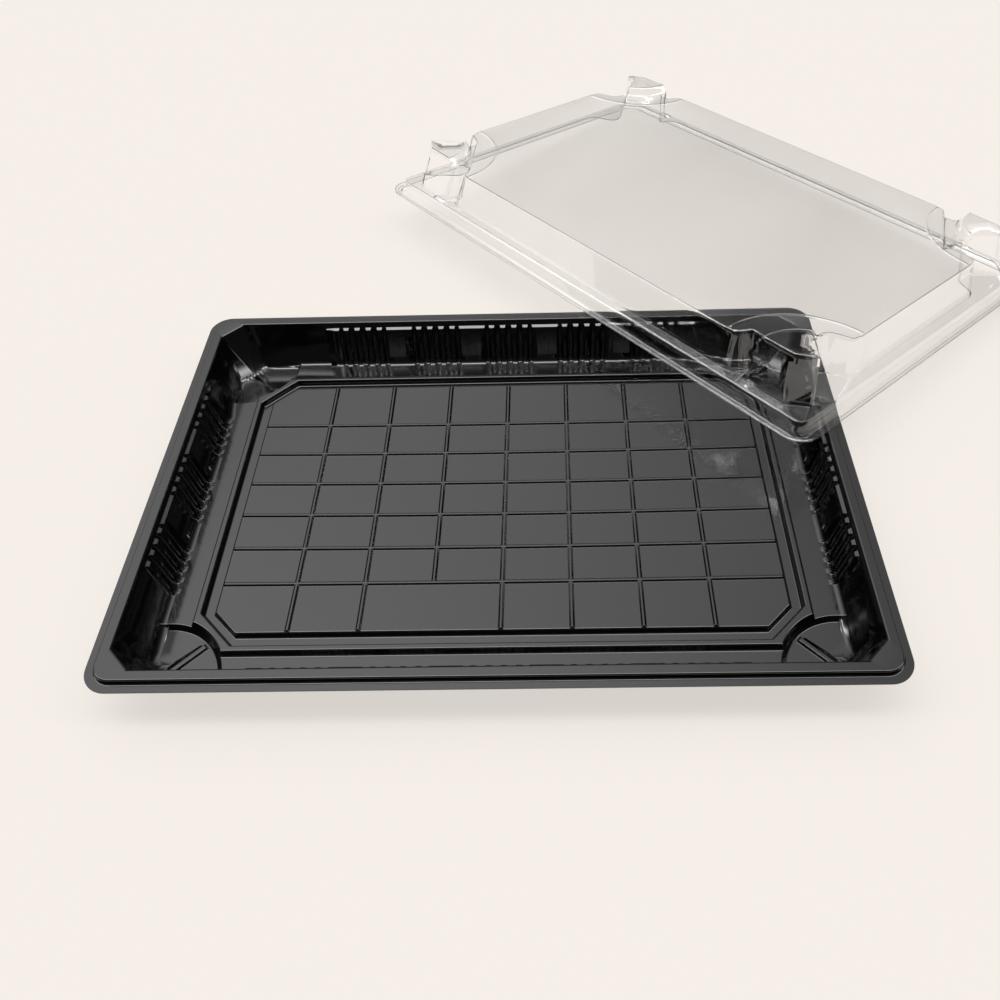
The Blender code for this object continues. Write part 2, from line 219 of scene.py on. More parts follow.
# %% Feet
FOOT_CENTRE = (HALF_X - 11.0, HALF_Y - 9.2)
FOOT_RADIUS, FOOT_DRAFT, FOOT_DEPTH, FOOT_EDGE = 31.2, 2.2, 29.7, 0.9
SPOKE_REACH = (28.0, 7.0)                                # its far and near end, from the foot's centre
SPOKE_FOOT, SPOKE_TOP, SPOKE_HEIGHT, SPOKE_EDGE = 3.6, 1.9, 1.3, 0.4
SPOKE_SLOPE = (SPOKE_FOOT - SPOKE_TOP) / 2
FLUTE_PITCH, FLUTE = 2.4, 0.35
FLUTES_HALF, FLUTES_FADE, FLUTES_EDGE = 7.0, 1.5, 0.5    # half their width, and how they fade out at its ends


def foot_drop(x, y):
    """How much deeper than the floor the foot is."""
    from_x, from_y = np.abs(x) - FOOT_CENTRE[0], np.abs(y) - FOOT_CENTRE[1]
    hollow = step(FOOT_RADIUS - np.hypot(from_x, from_y), FOOT_DRAFT, FOOT_DEPTH - WALL_HEIGHT, FOOT_EDGE)
    along, across = -(from_x + from_y) / math.sqrt(2), (from_x - from_y) / math.sqrt(2)
    to_end = np.minimum(SPOKE_REACH[0] - along, along - SPOKE_REACH[1])
    bar = np.minimum(SPOKE_FOOT / 2 - np.abs(across), to_end)
    return hollow - step(bar, SPOKE_SLOPE, SPOKE_HEIGHT, SPOKE_EDGE)


def corner_flutes(x, y):
    """Fine upright flutes on the four cut corners."""
    across = (np.abs(x) - HALF_X - np.abs(y) + HALF_Y) / math.sqrt(2)
    fade = ramp(FLUTES_HALF - np.abs(across), FLUTES_FADE, FLUTES_EDGE)
    return FLUTE * fade * (0.5 + 0.5 * np.cos(2 * math.pi * across / FLUTE_PITCH))


print("foot radius", FOOT_RADIUS, "mm, spoke", SPOKE_FOOT, "mm wide")

# %% [markdown]
# ## Lines on the platform
#
# Raised lines divide the platform into cells for the pieces of sushi: seven lines from front to back and six
# across. One of the seven stops a row early, which leaves a double cell at the front. Each line is a low bar
# with sloping sides, and the six together sit a little nearer to the front.

# %% Lines
COLUMN_PITCH, ROW_PITCH, ROW_SHIFT = 34.33, 22.06, -1.6
COLUMNS = [k * COLUMN_PITCH for k in range(-3, 4)]
ROWS = [k * ROW_PITCH + ROW_SHIFT for k in (-2.5, -1.5, -0.5, 0.5, 1.5, 2.5)]
SHORT_COLUMN = 2       # its place in COLUMNS
LINE_FOOT, LINE_TOP, LINE_HEIGHT, LINE_EDGE = 2.6, 0.9, 0.9, 0.35
LINE_SLOPE = (LINE_FOOT - LINE_TOP) / 2
LINE_END_GAP = 0.2
LINE_REACH = (HALF_X - PLATFORM_INSET - LINE_END_GAP, HALF_Y - PLATFORM_INSET - LINE_END_GAP)


def line_rise(x, y):
    """Height of the lines above the platform."""
    nearest = np.full(np.shape(x), -LINE_FOOT)
    for number, place in enumerate(COLUMNS):
        start = ROWS[0] if number == SHORT_COLUMN else -LINE_REACH[1]
        bar = np.minimum(LINE_FOOT / 2 - np.abs(x - place), np.minimum(y - start, LINE_REACH[1] - y))
        nearest = np.maximum(nearest, bar)
    for place in ROWS:
        bar = np.minimum(LINE_FOOT / 2 - np.abs(y - place), LINE_REACH[0] - np.abs(x))
        nearest = np.maximum(nearest, bar)
    return step(nearest, LINE_SLOPE, LINE_HEIGHT, LINE_EDGE)


print(len(COLUMNS), "columns,", len(ROWS), "rows")

# %% [markdown]
# ## The tray's height
#
# The wall falls away evenly from the opening, except for the ledge where a rib or a pad starts. The floor is
# a sum of small steps, and each foot's circle cuts the ridge's outer corner. The tray follows the wall until
# the floor is reached, with a rounded crease between the two. Outside the opening, the rim steps down to the
# flange.

# %% Height of the tray
CUT_SHARE = WALL_FOOT_INSET / ((2 * WALL_FOOT_INSET + FOOT_LEG - CORNER_LEG) / math.sqrt(2))
LEDGE_EDGE = 0.17
FLUTES_START, FLUTES_RUN, FLUTES_TOP = 1.5, 3.0, 1.0     # the flutes grow from nothing below the rim


def wall_drop(x, y):
    """Depth of the nearest wall's plane below the rim."""
    to_side, to_front = HALF_X - np.abs(x), HALF_Y - np.abs(y)
    to_cut = (to_side + to_front - CORNER_LEG) / math.sqrt(2) * CUT_SHARE
    to_cut = to_cut - corner_flutes(x, y) * ramp(to_cut - FLUTES_START, FLUTES_RUN, FLUTES_TOP)
    within = np.minimum(np.minimum(to_side, to_front), to_cut)
    bump = bump_at(x, y)
    ledge = soft(within - LEDGE_INSET, LEDGE_EDGE) - soft(within - LEDGE_INSET - bump, LEDGE_EDGE)
    fall = LEDGE_FALL / (BUMP * WALL_SLOPE)
    return curve(within, WALL_SLOPE, OPENING_EDGE) - WALL_SLOPE * ledge * (1 - fall)


def floor_drop(x, y):
    """Depth of the floor below the rim: strip, ridge, band, platform, feet and lines."""
    ridge, platform = WALL_HEIGHT - RIDGE_DEPTH, BAND_DEPTH - PLATFORM_DEPTH
    beyond_foot = np.hypot(np.abs(x) - FOOT_CENTRE[0], np.abs(y) - FOOT_CENTRE[1]) - FOOT_RADIUS
    on_ridge = np.minimum(inside(x, y, RIDGE_OUTER, RIDGE_OUTER_LEG), beyond_foot)
    up = step(on_ridge, STEP_RUN, ridge, STEP_RADIUS)
    down = step(inside(x, y, RIDGE_INNER - STEP_RUN, RIDGE_INNER_LEG), STEP_RUN, ridge, STEP_RADIUS)
    onto = step(inside(x, y, PLATFORM_INSET - STEP_RUN, PLATFORM_LEG), STEP_RUN, platform, STEP_RADIUS)
    sag_x = np.maximum(1 - (x / (HALF_X - PLATFORM_INSET)) ** 2, 0)
    sag_y = np.maximum(1 - (y / (HALF_Y - PLATFORM_INSET)) ** 2, 0)
    return WALL_HEIGHT - up + down - onto + SAG * sag_x * sag_y + foot_drop(x, y) - line_rise(x, y)


def tray_height(x, y):
    """Height of the tray's upper face, 0 on the rim."""
    rim = outside(x, y, (HALF_X + RIM_WIDTH, HALF_Y + RIM_WIDTH), RIM_RADIUS)
    floor = floor_drop(x, y)
    above = (floor - wall_drop(x, y)) / WALL_SLOPE
    return curve(above, WALL_SLOPE, CREASE) - floor - step(rim, RIM_STEP, RIM_DROP, RIM_EDGE)


for place in ((0.0, 5.0), (0.0, 90.0), (HALF_X + 2, 0.0), (HALF_X + 8, 0.0)):
    print("height at", place, "is", round(float(tray_height(*map(np.array, place))), 2))

# %% [markdown]
# ## From a formula to a mesh
#
# The points have to lie where the formula bends, in rows along each rounded edge. A constrained Delaunay
# triangulation keeps those rows as edges and fills the flats between them with large triangles. A coarser set
# of rows makes the under face, and a band joins the two at the cut edge. The normals come from the formula's
# slope rather than from the triangles, which is why a handful of rows is enough for each edge.

# %% Draping
SLOPE_STEP = 0.001     # for measuring the slope
MERGE = 1e-4


def triangulated(rows):
    """Plan points and triangles through rows of points, given as (points, whether the row is a ring)."""
    flat, edges = [], []
    for points, closed in rows:
        first, count = len(flat), len(points)
        flat += [Vector((float(x), float(y))) for x, y in points]
        edges += [(first + k, first + (k + 1) % count) for k in range(count if closed else count - 1)]
    found, _, faces, origins, _, _ = delaunay_2d_cdt(flat, edges, [], 1, MERGE)
    border_count = len(rows[0][0])
    border = {origin[0]: k for k, origin in enumerate(origins) if origin and origin[0] < border_count}
    return np.array(found), [tuple(face) for face in faces], [border[k] for k in range(border_count)]


def normals_at(height, plan):
    """Unit normals of the formula at the plan's points."""
    x, y = plan[:, 0], plan[:, 1]
    slope_x = (height(x + SLOPE_STEP, y) - height(x - SLOPE_STEP, y)) / (2 * SLOPE_STEP)
    slope_y = (height(x, y + SLOPE_STEP) - height(x, y - SLOPE_STEP)) / (2 * SLOPE_STEP)
    normals = np.column_stack([-slope_x, -slope_y, np.ones(len(plan))])
    return normals / np.linalg.norm(normals, axis=1)[:, None]


def drape(name, height, fine_rows, coarse_rows, gauge):
    """A closed sheet whose upper face has the height of a formula and whose lower face lies gauge below."""
    top, top_faces, top_border = triangulated(fine_rows)
    low, low_faces, low_border = triangulated(coarse_rows)
    start = len(top)
    upper = np.column_stack([top, height(top[:, 0], top[:, 1])])
    lower = np.column_stack([low, height(low[:, 0], low[:, 1]) - gauge])
    faces = top_faces + [tuple(start + k for k in reversed(face)) for face in low_faces]
    sheet_faces = len(faces)
    count = len(top_border)
    for k in range(count):
        after = (k + 1) % count
        faces.append((top_border[k], start + low_border[k], start + low_border[after], top_border[after]))
    mesh = bpy.data.meshes.new(name)
    mesh.from_pydata((np.vstack([upper, lower]) * MM).tolist(), [], faces)
    mesh.shade_smooth()
    normals = np.vstack([normals_at(height, top), -normals_at(height, low)])
    corner_points = np.empty(len(mesh.loops), np.int32)
    mesh.loops.foreach_get("vertex_index", corner_points)
    corner_normals = normals[corner_points]
    corner_normals[mesh.polygons[sheet_faces].loop_start:] = 0
    mesh.normals_split_custom_set(corner_normals.tolist())
    piece = bpy.data.objects.new(name, mesh)
    bpy.context.collection.objects.link(piece)
    print(name, len(mesh.vertices), "points,", len(top_faces), "upper and", len(low_faces), "lower triangles")
    return piece


# %% [markdown]
# ## Rows for the tray
#
# `ring` walks round a rectangle with cut corners and puts extra points just before and after each corner.
# `step_rows` gives the distances at which a small step needs a row, close together where it starts to tilt.

# %% Rows round the tray
CORNER_STEP = 0.8      # points this far before and after a corner keep its turn short
QUARTER_STEPS = 12     # pieces in a round corner
RING_GAP, ROUND_GAP = 9.0, 12.0                    # most between two points on a straight side
TILTS = (0, 0.1, 0.2, 0.32, 0.46, 0.62, 0.8, 1)    # shares of an arc's whole tilt that get a row
FEW_TILTS = (0, 0.35, 0.7, 1)                      # enough for the many small lines
EVEN = (-1, -0.5, 0, 0.5, 1)                       # and for a parabola


def edge_rows(run, width):
    """Where the two bends of a ramp need their rows."""
    return [place + width * share for place in (0.0, run) for share in EVEN]


def bend_rows(slope, radius, tilts=TILTS):
    """Where an arc needs its rows, at even steps of its tilt, measured from the sharp corner."""
    angle = math.atan(slope)
    return [radius * math.sin(angle * tilt) - tangent(slope, radius) for tilt in tilts]


def step_rows(run, rise, radius, tilts=TILTS):
    """Where the two bends of a step need their rows."""
    foot = bend_rows(rise / run, radius, tilts)
    return foot + [run - place for place in reversed(foot)]


def spread(low, high, most):
    """Even places from low to high, no more than most apart."""
    return list(np.linspace(low, high, max(2, math.ceil((high - low) / most) + 1)))


def walls():
    """The four walls, counter-clockwise: the way along, the way out, half the length and half the gap."""
    return (
        ((1, 0), (0, -1), HALF_X, HALF_Y),
        ((0, 1), (1, 0), HALF_Y, HALF_X),
        ((-1, 0), (0, 1), HALF_X, HALF_Y),
        ((0, -1), (-1, 0), HALF_Y, HALF_X),
    )


def ring(inset, leg, places=None, bumped=None, cut_steps=2, fluted=0.0):
    """A cut-cornered outline. places lists the points along a wall, and bumped moves each of them inwards."""
    points = []
    for along, outwards, half_length, half_gap in walls():
        end, gap = half_length - inset - leg, half_gap - inset
        on_wall = places[half_length] if places else spread(-end, end, RING_GAP)[1:-1]
        on_wall = [s for s in on_wall if abs(s) < end - 2 * CORNER_STEP]
        for s in [-end, -end + CORNER_STEP] + on_wall + [end - CORNER_STEP, end]:
            sign = along[0] + along[1]
            reach = gap - (bumped(along, outwards, s * sign, gap) if bumped else 0.0)
            points.append((along[0] * s + outwards[0] * reach, along[1] * s + outwards[1] * reach))
        first = CORNER_STEP / math.sqrt(2)
        for cut in spread(first, leg - first, (leg - 2 * first) / cut_steps):
            x = along[0] * (end + cut) + outwards[0] * (gap - cut)
            y = along[1] * (end + cut) + outwards[1] * (gap - cut)
            inwards = fluted * float(corner_flutes(np.array(x), np.array(y))) / CUT_SHARE / math.sqrt(2)
            points.append((x - math.copysign(inwards, x), y - math.copysign(inwards, y)))
    return points


def round_ring(half_x, half_y, radius):
    """A rectangle's outline with round corners."""
    points = []
    for quarter, (side_x, side_y) in enumerate(((-1, -1), (1, -1), (1, 1), (-1, 1))):
        for k in range(QUARTER_STEPS + 1):
            angle = math.radians(180 + 90 * quarter + 90 * k / QUARTER_STEPS)
            points.append((side_x * (half_x - radius) + radius * math.cos(angle),
                           side_y * (half_y - radius) + radius * math.sin(angle)))
        length = 2 * (half_x - radius if quarter % 2 == 0 else half_y - radius)
        along = (1, 0, -1, 0)[quarter], (0, 1, 0, -1)[quarter]
        last = points[-1]
        for s in spread(0, length, ROUND_GAP)[1:-1]:
            points.append((last[0] + along[0] * s, last[1] + along[1] * s))
    return points


def rim_ring(outset, radius):
    """A round-cornered outline outside the opening."""
    return round_ring(HALF_X + outset, HALF_Y + outset, radius)


print("points round the flange:", len(rim_ring(FLANGE_EDGE, FLANGE_RADIUS)))

# %% Places along the walls
RIB_OFFSETS = (0.0, 0.15, 0.3)
FOOT_MEETS_LONG, FOOT_MEETS_SHORT = 131.1, 77.7    # where the feet's edges run into the walls
WALL_REACH, WALL_GAP = 170, 12.0
FOOT_OFFSETS = (-1.2, -0.9, -0.6, -0.3, 0.0, 0.3, 0.6)


def wall_places(wall, foot_meets):
    """Where points are needed along a wall with ribs: dense round each turn, and at the feet's edges."""
    places = []
    for place, _ in rib_stations(wall):
        places += [place + offset * side for offset in RIB_OFFSETS for side in (-1, 1)]
    for side in (-1, 1):
        places += [side * (foot_meets - offset) for offset in FOOT_OFFSETS]
    places += spread(-WALL_REACH, WALL_REACH, WALL_GAP)
    return [float(p) for p in sorted(set(np.round(places, 2)))]


FINE_PLACES = {
    HALF_X: wall_places(LONG_WALL, FOOT_MEETS_LONG),
    HALF_Y: wall_places(SHORT_WALL, FOOT_MEETS_SHORT),
}
COARSE_PLACES = {
    HALF_X: [place for place, _ in rib_stations(LONG_WALL)],
    HALF_Y: [place for place, _ in rib_stations(SHORT_WALL)],
}


def ledge_row(share):
    """A row on the ledges: share runs from 0 before the ledge to 1 just past its lip."""
    def bumped(along, outwards, place, gap):
        x, y = (place, outwards[1] * gap) if along[0] else (outwards[0] * gap, place)
        return share * (float(bump_at(np.array(x), np.array(y))) + 2 * LEDGE_EDGE)
    return bumped


def foot_row(along, outwards, place, gap):
    """A row in the crease at the foot of a wall, which lies deeper in the feet."""
    x, y = (place, outwards[1] * gap) if along[0] else (outwards[0] * gap, place)
    x, y = np.array(float(x)), np.array(float(y))
    above = FOOT_DEPTH - WALL_HEIGHT - foot_drop(x, y)
    return float(bump_at(x, y) - above / WALL_SLOPE)


FOOT_INSET = FOOT_DEPTH / WALL_SLOPE
FOOT_CUT_LEG = CORNER_LEG + (FOOT_LEG - CORNER_LEG) * FOOT_DEPTH / WALL_HEIGHT


def wall_rows(places, shares, foot_offsets, cut_steps):
    """Rows on the ledges at some shares, and in the crease at some offsets."""
    rows = []
    for share in shares:
        inset = LEDGE_INSET - LEDGE_EDGE
        leg = CORNER_LEG + (FOOT_LEG - CORNER_LEG) * inset / WALL_FOOT_INSET
        rows.append(ring(inset, leg, places, ledge_row(share), cut_steps))
    for offset in foot_offsets:
        leg = FOOT_CUT_LEG - (2 - math.sqrt(2)) * offset
        rows.append(ring(FOOT_INSET + offset, leg, places, foot_row, cut_steps, 1.0))
    return rows


print("places along a long wall:", len(FINE_PLACES[HALF_X]))

# %% [markdown]
# The feet get arcs with the radii where their step bends, and the spokes get rows along their length. The
# platform is simpler: its lines run square to each other, so a grid of all the columns' bends against all the
# rows' bends puts a point wherever one is needed.

# %% Rows in the feet and on the platform
FOOT_ARC = (math.radians(170), math.radians(280))
SPOKE_END, SPOKE_GAP = 1.2, 2.0


def foot_rows(radii, steps, inset):
    """Arcs round each foot, between two lines this far in from the opening."""
    rows = []
    for radius in radii:
        arc = []
        for angle in np.linspace(*FOOT_ARC, steps):
            x = FOOT_CENTRE[0] + radius * math.cos(angle)
            y = FOOT_CENTRE[1] + radius * math.sin(angle)
            if HALF_X - x > inset and HALF_Y - y > inset:
                arc.append((x, y))
        rows.append(arc)
    return rows


def spoke_rows():
    """Rows along each spoke at every bend of its sides, with points at every bend of its ends."""
    bends = step_rows(SPOKE_SLOPE, SPOKE_HEIGHT, SPOKE_EDGE)
    widths = [SPOKE_FOOT / 2 - bend for bend in bends]
    far, near = SPOKE_REACH
    reaches = [near + bend for bend in bends] + spread(near + SPOKE_END, far - SPOKE_END, SPOKE_GAP)
    reaches += [far - bend for bend in reversed(bends)]
    rows = []
    for width in widths + [0.0] + [-w for w in reversed(widths)]:
        row = []
        for reach in reaches:
            row.append((FOOT_CENTRE[0] + (-reach + width) / math.sqrt(2),
                        FOOT_CENTRE[1] + (-reach - width) / math.sqrt(2)))
        rows.append(row)
    return rows


def in_each_corner(rows):
    """Copies of the back right corner's rows for all four corners."""
    corners = [(side_x, side_y) for side_x in (1, -1) for side_y in (1, -1)]
    return [[(x * side_x, y * side_y) for x, y in row] for row in rows for side_x, side_y in corners]


def line_grid():
    """Rows along every bend of every line, crossing each other at shared points."""
    bends = step_rows(LINE_SLOPE, LINE_HEIGHT, LINE_EDGE, FEW_TILTS)
    offsets = sorted({round(side * (LINE_FOOT / 2 - bend), 4) for bend in bends for side in (-1, 1)} | {0.0})

    def places(lines, reach):
        on_lines = [line + offset for line in lines for offset in offsets]
        between = [(a + b) / 2 for a, b in zip([-reach] + lines, lines + [reach])]
        at_ends = [side * (reach - bend) for bend in bends for side in (-1, 1)]
        return sorted(set(np.round(on_lines + between + at_ends, 4)))

    xs, ys = places(COLUMNS, LINE_REACH[0]), places(ROWS, LINE_REACH[1])
    rows = [[(x, y) for y in ys] for column in COLUMNS for offset in offsets for x in [column + offset]]
    rows += [[(x, y) for x in xs] for line in ROWS for offset in offsets for y in [line + offset]]
    start = ROWS[0]
    rows += [[(COLUMNS[SHORT_COLUMN] + offset, start + bend) for offset in offsets] for bend in bends]
    return rows


LEDGE_SHARES = (0.0, 0.08, 0.17, 0.5, 0.83, 0.92, 1.0)
ARC_POINTS, CUT_POINTS = 60, 20


def tray_rows(fine):
    """All rows of one face of the tray."""
    ridge, platform = WALL_HEIGHT - RIDGE_DEPTH, BAND_DEPTH - PLATFORM_DEPTH
    rims = step_rows(RIM_STEP, RIM_DROP, RIM_EDGE) if fine else [0.0, RIM_STEP]
    rings = [rim_ring(RIM_WIDTH + bend, RIM_RADIUS + bend) for bend in rims]
    opening = bend_rows(WALL_SLOPE, OPENING_EDGE) if fine else (0.0,)
    rings += [ring(inset, CORNER_LEG) for inset in opening]
    shares = LEDGE_SHARES if fine else (0.0, 1.0)
    feet = [-bend for bend in bend_rows(WALL_SLOPE, CREASE)] if fine else (0.0, tangent(WALL_SLOPE, CREASE))
    rings += wall_rows(FINE_PLACES if fine else COARSE_PLACES, shares, feet, CUT_POINTS if fine else 2)
    steps = ((RIDGE_OUTER, RIDGE_OUTER_LEG, ridge), (RIDGE_INNER - STEP_RUN, RIDGE_INNER_LEG, ridge),
             (PLATFORM_INSET - STEP_RUN, PLATFORM_LEG, platform))
    for inset, leg, rise in steps:
        bends = step_rows(STEP_RUN, rise, STEP_RADIUS) if fine else (0.0, STEP_RUN)
        rings += [ring(inset + bend, leg) for bend in bends]
    arcs = step_rows(FOOT_DRAFT, FOOT_DEPTH - WALL_HEIGHT, FOOT_EDGE) if fine else (0.0, FOOT_DRAFT)
    ups = step_rows(STEP_RUN, ridge, STEP_RADIUS) if fine else (0.0, STEP_RUN)
    arc_points = ARC_POINTS if fine else 16
    lines = in_each_corner(foot_rows([FOOT_RADIUS - bend for bend in arcs], arc_points, WALL_FOOT_INSET))
    lines += in_each_corner(foot_rows([FOOT_RADIUS + bend for bend in ups], arc_points, RIDGE_OUTER - 1))
    if fine:
        lines += in_each_corner(spoke_rows()) + line_grid()
    else:
        # The lower face has no lines, so its points lie in the middles of the cells.
        cells_x = [place - COLUMN_PITCH / 2 for place in COLUMNS + [COLUMNS[-1] + COLUMN_PITCH]]
        cells_y = [place - ROW_PITCH / 2 for place in ROWS + [ROWS[-1] + ROW_PITCH]]
        lines += [[(x, y) for x in cells_x] for y in cells_y]
    border = rim_ring(FLANGE_EDGE, FLANGE_RADIUS)
    return [(border, True)] + [(row, True) for row in rings] + [(row, False) for row in lines]


tray = drape("tray_shell", tray_height, tray_rows(True), tray_rows(False), TRAY_GAUGE)
tray.location = rim_middle
print("the tray's rim stands", round(rim_middle.z / MM, 1), "mm above the ground")

# %% [markdown]
# ## Black polystyrene
#
# High-impact polystyrene is glossy on the side that didn't touch the mould. Black pigment leaves almost
# nothing but the mirror-like surface: its IOR of 1.59 sends back about 5 % of the light from straight ahead,
# so the floor looks dark grey under a bright sky and the walls, which mirror the tray's own inside, look
# black. The pull over the mould leaves a faint waviness, a centimetre across and only micrometres high, and
# a trace of haze that is finer than that.

# %% Colour and node helpers
def linear(hex_colour):
    """An sRGB hex colour as the linear colour that shaders expect."""
    channels = [int(hex_colour[k:k + 2], 16) / 255 for k in (1, 3, 5)]
    return tuple(c / 12.92 if c <= 0.04045 else ((c + 0.055) / 1.055) ** 2.4 for c in channels) + (1.0,)


def add_node(tree, kind, inputs=None, **settings):
    """Adds a node. An input is a plain value, or a (node, output name) pair to link from."""
    node = tree.nodes.new(kind)
    for name, value in settings.items():
        setattr(node, name, value)
    for socket, value in (inputs or {}).items():
        if isinstance(value, tuple) and isinstance(value[0], bpy.types.Node):
            tree.links.new(value[0].outputs[value[1]], node.inputs[socket])
        else:
            node.inputs[socket].default_value = value
    return node


def new_material(name):
    """A new material with its node tree and its shader."""
    material = bpy.data.materials.new(name)
    material.use_nodes = True
    return material, material.node_tree, material.node_tree.nodes["Principled BSDF"]


PIGMENT = linear("#030303")
print("linear black pigment", PIGMENT)

# %% The polystyrene
WAVE_MM, WAVE_HEIGHT_MM = 14.0, 0.004
HAZE_MM, LEAST_ROUGH, MOST_ROUGH = 2.5, 0.09, 0.15

polystyrene, tree, shader = new_material("thermoformed_polystyrene")
place = add_node(tree, "ShaderNodeTexCoord")
waves = add_node(tree, "ShaderNodeTexNoise",
                 {"Vector": (place, "Object"), "Scale": 1 / (WAVE_MM * MM), "Detail": 1.0})
bump = add_node(tree, "ShaderNodeBump",
                {"Height": (waves, "Fac"), "Distance": WAVE_HEIGHT_MM * MM, "Strength": 1.0})
haze = add_node(tree, "ShaderNodeTexNoise",
                {"Vector": (place, "Object"), "Scale": 1 / (HAZE_MM * MM), "Detail": 3.0})
rough = add_node(tree, "ShaderNodeMapRange",
                 {"Value": (haze, "Fac"), "To Min": LEAST_ROUGH, "To Max": MOST_ROUGH})
shader.inputs["Base Color"].default_value = PIGMENT
shader.inputs["IOR"].default_value = 1.59
tree.links.new(rough.outputs["Result"], shader.inputs["Roughness"])
tree.links.new(bump.outputs["Normal"], shader.inputs["Normal"])
tray.data.materials.append(polystyrene)
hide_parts("tray")
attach(tray, "root")
print("waves", WAVE_MM, "mm apart, roughness from", LEAST_ROUGH, "to", MOST_ROUGH)

# %% [markdown]
# ## The lid's plan
#
# The lid is drawn in its own frame, with its origin under its middle and 0 at its flange, and all four of its
# corners are alike. A place is given by its distances from the short edge and from the long edge. The dome's
# corner is a chain of points, each given at the dome's foot and at its top: the long panel's end, a groove, a
# chamfered tower in the corner, a second groove, and the short panel's end.

# %% Sizes of the lid
LID_SIZE = (366.0, 256.0)
LID_RADIUS, LID_FLANGE = 13.0, 5.0
SHELF_INSET, SHELF_HEIGHT = 7.5, 8.5
DOME_HEIGHT, TOWER_HEIGHT = 31.0, 36.5
DOME_FOOT = (
    (65.0, 13.3), (59.5, 15.5), (57.0, 20.0), (56.0, 24.0), (53.5, 24.0), (52.5, 20.0), (52.0, 13.3),
    (24.8, 13.3), (12.2, 24.5), (28.0, 43.0), (29.5, 47.0), (29.5, 51.0), (27.0, 54.5), (20.8, 57.5),
    (15.5, 60.0), (13.5, 66.0),
)
DOME_TOP = (
    (72.0, 17.3), (66.0, 18.3), (63.5, 21.5), (61.0, 27.0), (54.0, 27.0), (52.5, 24.0), (52.2, 18.1),
    (28.0, 18.4), (17.0, 26.7), (33.5, 43.0), (34.0, 47.5), (34.0, 53.5), (31.0, 58.5), (25.0, 61.0),
    (20.0, 63.0), (18.3, 69.0),
)
LID_GAUGE = 0.4


def from_edges(x, y):
    """Distances from the nearest short edge and from the nearest long edge."""
    return LID_SIZE[0] / 2 - np.abs(x), LID_SIZE[1] / 2 - np.abs(y)


def inside_chain(a, b, chain):
    """Distance inside a chain of points that runs on straight to the middle of both edges."""
    chain = [(LID_SIZE[0], chain[0][1])] + list(chain) + [(chain[-1][0], LID_SIZE[1])]
    nearest, within = np.full(np.shape(a), 1e9), np.zeros(np.shape(a), bool)
    for (a0, b0), (a1, b1) in zip(chain, chain[1:]):
        run, rise = a1 - a0, b1 - b0
        share = np.clip(((a - a0) * run + (b - b0) * rise) / (run ** 2 + rise ** 2), 0, 1)
        nearest = np.minimum(nearest, np.hypot(a - a0 - share * run, b - b0 - share * rise))
        if run:
            within = within ^ (((a0 > a) != (a1 > a)) & (b > b0 + (a - a0) * rise / run))
    return np.where(within, nearest, -nearest)


print("inside the dome's top at the middle:", inside_chain(np.array(183.0), np.array(128.0), DOME_TOP))

# %% [markdown]
# ## The lid's height
#
# How far a place is up the dome's wall follows from its distances inside the two chains. The wall stops at
# the dome's height, except in the towers, where it climbs on until a quarter-round step at the back. Small
# things make it look right: the flange's rim curls up and carries a bead, a pillow snaps into the tray, and
# an arc runs behind each tower. Generous roundings count on a clear sheet, since only its bends can be seen.

# %% Height of the lid
DOME_RISE = DOME_HEIGHT - SHELF_HEIGHT
TOWER_SHARE = (TOWER_HEIGHT - DOME_HEIGHT) / DOME_RISE
TOWER_CENTRE, TOWER_REACH, TOWER_STEP = (18.1, 19.3), 34.0, 3.0
TOWER_EDGE, SHELF_EDGE = 0.9, 0.8
WALL_EDGE = 0.11       # rounding at the wall's foot and head, as a share of the wall
CURL, CURL_SLOPE, CURL_EDGE = 1.6, 0.8, 1.2        # the flange's curled rim: width, slope and radius
BEAD_PLACE, BEAD_WIDTH, BEAD_HEIGHT = 2.4, 1.6, 0.5
ARC_REACH, ARC_WIDTH, ARC_HEIGHT = 52.0, 2.4, 0.6
ARC_START, ARC_GROW, ARC_EDGE = 1.2, 0.3, 0.1      # the arc grows once a place is this far up the wall
PILLOW, PILLOW_HALF, PILLOW_HEIGHT = (48.0, 10.6), (5.0, 1.9), 1.4
PILLOW_SLOPE, PILLOW_EDGE = 1.2, 0.3


def ridge(distance, width, height):
    """A low rounded ridge along the line where distance is 0."""
    return height * ramp(width / 2 - np.abs(distance), width / 2, width / 8)


def up_the_wall(a, b):
    """0 at the dome's foot, 1 at its top edge, and more beyond."""
    foot, top = inside_chain(a, b, DOME_FOOT), inside_chain(a, b, DOME_TOP)
    return foot / (foot - top)


def lid_height(x, y):
    """Height of the lid above its flange."""
    a, b = from_edges(x, y)
    edge = -outside(x, y, (LID_SIZE[0] / 2, LID_SIZE[1] / 2), LID_RADIUS)
    shelf = SHELF_HEIGHT * ramp(edge - LID_FLANGE, SHELF_INSET - LID_FLANGE, SHELF_EDGE)
    bead = ridge(edge - BEAD_PLACE, BEAD_WIDTH, BEAD_HEIGHT)
    reach = np.hypot(a - TOWER_CENTRE[0], b - TOWER_CENTRE[1])
    cap = 1 + TOWER_SHARE * ramp(TOWER_REACH - reach, TOWER_STEP, TOWER_EDGE)
    wall = up_the_wall(a, b)
    dome = DOME_RISE * (soft(wall, WALL_EDGE) - soft(wall - cap, WALL_EDGE))
    arc = ridge(reach - ARC_REACH, ARC_WIDTH, ARC_HEIGHT) * ramp(wall - ARC_START, ARC_GROW, ARC_EDGE)
    side = np.minimum(PILLOW_HALF[0] - np.abs(a - PILLOW[0]), PILLOW_HALF[1] - np.abs(b - PILLOW[1]))
    pillow = PILLOW_HEIGHT * ramp(side, PILLOW_SLOPE, PILLOW_EDGE)
    return shelf + bead + curve(CURL - edge, CURL_SLOPE, CURL_EDGE) + dome + arc + pillow


